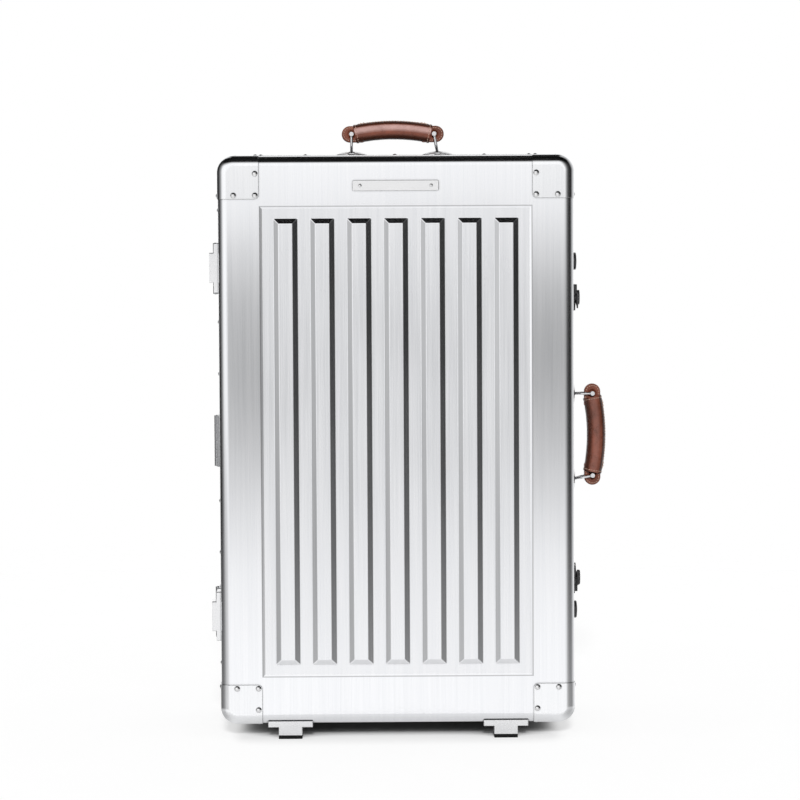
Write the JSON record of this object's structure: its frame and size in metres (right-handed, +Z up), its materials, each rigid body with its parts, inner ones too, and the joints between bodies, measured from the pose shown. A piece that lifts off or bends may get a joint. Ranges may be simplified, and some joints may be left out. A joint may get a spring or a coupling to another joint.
{
  "type": "hard-shell suitcase on wheels",
  "caption": "Upright aluminium suitcase with ribbed pressed shells, riveted corner caps, leather carrying handles, side latches and hinges, rear wheels and a telescopic pull handle.",
  "frame": {"origin": "on the floor under the middle of the case's width and depth", "axes": "+Z up along the height, -Y out of the front face, +X to the latch side"},
  "size_m": [0.4956, 0.2594, 0.7652],
  "materials": {
    "sheet_aluminium": "vertically brushed sheet",
    "frame_aluminium": "satin extrusion",
    "cap_aluminium": "bright pressed sheet",
    "rivet_steel": "bright heads",
    "plate_metal": "bare brushed plate",
    "hinge_steel": "satin plated",
    "polished_metal": "polished",
    "base_nickel": "satin plated",
    "pin_steel": "plain",
    "latch_black": "satin black",
    "lock_brass": "satin",
    "brown_leather": "waxed, stitched",
    "foot_metal": "satin grey",
    "black_rubber": "matte",
    "wheel_rubber": "matte",
    "wheel_plastic": "moulded",
    "black_plastic": "moulded",
    "button_plastic": "smooth",
    "tube_aluminium": "anodised",
    "lining_fabric": "woven"
  },
  "bodies": {
    "rear_half": {"rear_shell": "sheet_aluminium", "rear_frame": "frame_aluminium", "frame_seal": "black_rubber", "rear_lining": "lining_fabric", "corner_rear_top_left": "cap_aluminium", "corner_rear_top_right": "cap_aluminium", "corner_rear_bottom_left": "cap_aluminium", "corner_rear_bottom_right": "cap_aluminium", "rear_rivets": "rivet_steel", "hinge_rear_leaves": "hinge_steel", "hinge_pins": "pin_steel", "latch_plate_upper": "latch_black", "latch_plate_lower": "latch_black", "lock_rosette_upper": "latch_black", "lock_rosette_lower": "latch_black", "top_handle_bases": "base_nickel", "side_handle_bases": "base_nickel", "handle_hinge_pins": "pin_steel", "rear_side_feet": "foot_metal", "wheel_housings": "black_plastic", "wheel_axles": "pin_steel", "pull_outer_tubes": "tube_aluminium", "pull_cup": "black_plastic", "pull_bracket": "black_plastic"},
    "front_half": {"front_shell": "sheet_aluminium", "front_frame": "frame_aluminium", "front_lining": "lining_fabric", "corner_front_top_left": "cap_aluminium", "corner_front_top_right": "cap_aluminium", "corner_front_bottom_left": "cap_aluminium", "corner_front_bottom_right": "cap_aluminium", "front_rivets": "rivet_steel", "name_plate": "plate_metal", "hinge_front_leaves": "hinge_steel", "latch_keeper_upper": "latch_black", "latch_keeper_lower": "latch_black", "front_feet": "foot_metal", "foot_pads": "black_rubber", "front_side_feet": "foot_metal"},
    "latch_upper": {"latch_turn_upper": "latch_black", "latch_cam_upper": "latch_black"},
    "latch_lower": {"latch_turn_lower": "latch_black", "latch_cam_lower": "latch_black"},
    "lock_upper": {"lock_plug_upper": "lock_brass"},
    "lock_lower": {"lock_plug_lower": "lock_brass"},
    "top_handle": {"top_handle_grip": "brown_leather", "top_handle_link_left": "polished_metal", "top_handle_link_right": "polished_metal", "top_handle_pins": "polished_metal"},
    "side_handle": {"side_handle_grip": "brown_leather", "side_handle_link_upper": "polished_metal", "side_handle_link_lower": "polished_metal", "side_handle_pins": "polished_metal"},
    "wheel_left": {"wheel_hub_left": "wheel_plastic", "wheel_tyre_left": "wheel_rubber"},
    "wheel_right": {"wheel_hub_right": "wheel_plastic", "wheel_tyre_right": "wheel_rubber"},
    "pull_handle": {"pull_inner_tubes": "tube_aluminium", "pull_grip": "black_plastic"},
    "pull_button": {"pull_button": "button_plastic"}
  },
  "joints": [
    {"name": "case_open", "type": "hinge", "parent": "rear_half", "child": "front_half", "pos_m": [-0.2265, -0.025, 0.36785], "axis": [0, 0, -1], "range_deg": [0, 180]},
    {"name": "latch_upper_turn", "type": "hinge", "parent": "rear_half", "child": "latch_upper", "pos_m": [0.2218, -0.005, 0.54145], "axis": [1, 0, 0], "range_deg": [0, 90]},
    {"name": "latch_lower_turn", "type": "hinge", "parent": "rear_half", "child": "latch_lower", "pos_m": [0.2218, -0.005, 0.18485], "axis": [-1, 0, 0], "range_deg": [0, 90]},
    {"name": "lock_upper_turn", "type": "hinge", "parent": "rear_half", "child": "lock_upper", "pos_m": [0.2218, 0, 0.58725], "axis": [1, 0, 0], "range_deg": [0, 90]},
    {"name": "lock_lower_turn", "type": "hinge", "parent": "rear_half", "child": "lock_lower", "pos_m": [0.2218, 0, 0.14325], "axis": [1, 0, 0], "range_deg": [0, 90]},
    {"name": "top_handle_fold", "type": "hinge", "parent": "rear_half", "child": "top_handle", "pos_m": [0, 0, 0.7245], "axis": [1, 0, 0], "range_deg": [-50, 50]},
    {"name": "side_handle_fold", "type": "hinge", "parent": "rear_half", "child": "side_handle", "pos_m": [0.2254, 0, 0.36485], "axis": [0, 0, 1], "range_deg": [-50, 50]},
    {"name": "wheel_left_spin", "type": "hinge", "parent": "rear_half", "child": "wheel_left", "pos_m": [-0.133, 0.101, 0.03], "axis": [1, 0, 0], "continuous": true},
    {"name": "wheel_right_spin", "type": "hinge", "parent": "rear_half", "child": "wheel_right", "pos_m": [0.133, 0.101, 0.03], "axis": [1, 0, 0], "continuous": true},
    {"name": "pull_handle_slide", "type": "slide", "parent": "rear_half", "child": "pull_handle", "axis": [0, 0, 1], "range_m": [0, 0.4]},
    {"name": "button_press", "type": "slide", "parent": "pull_handle", "child": "pull_button", "axis": [0, 0, -1], "range_m": [0, 0.004], "stiffness_N_per_m": 400}
  ]
}
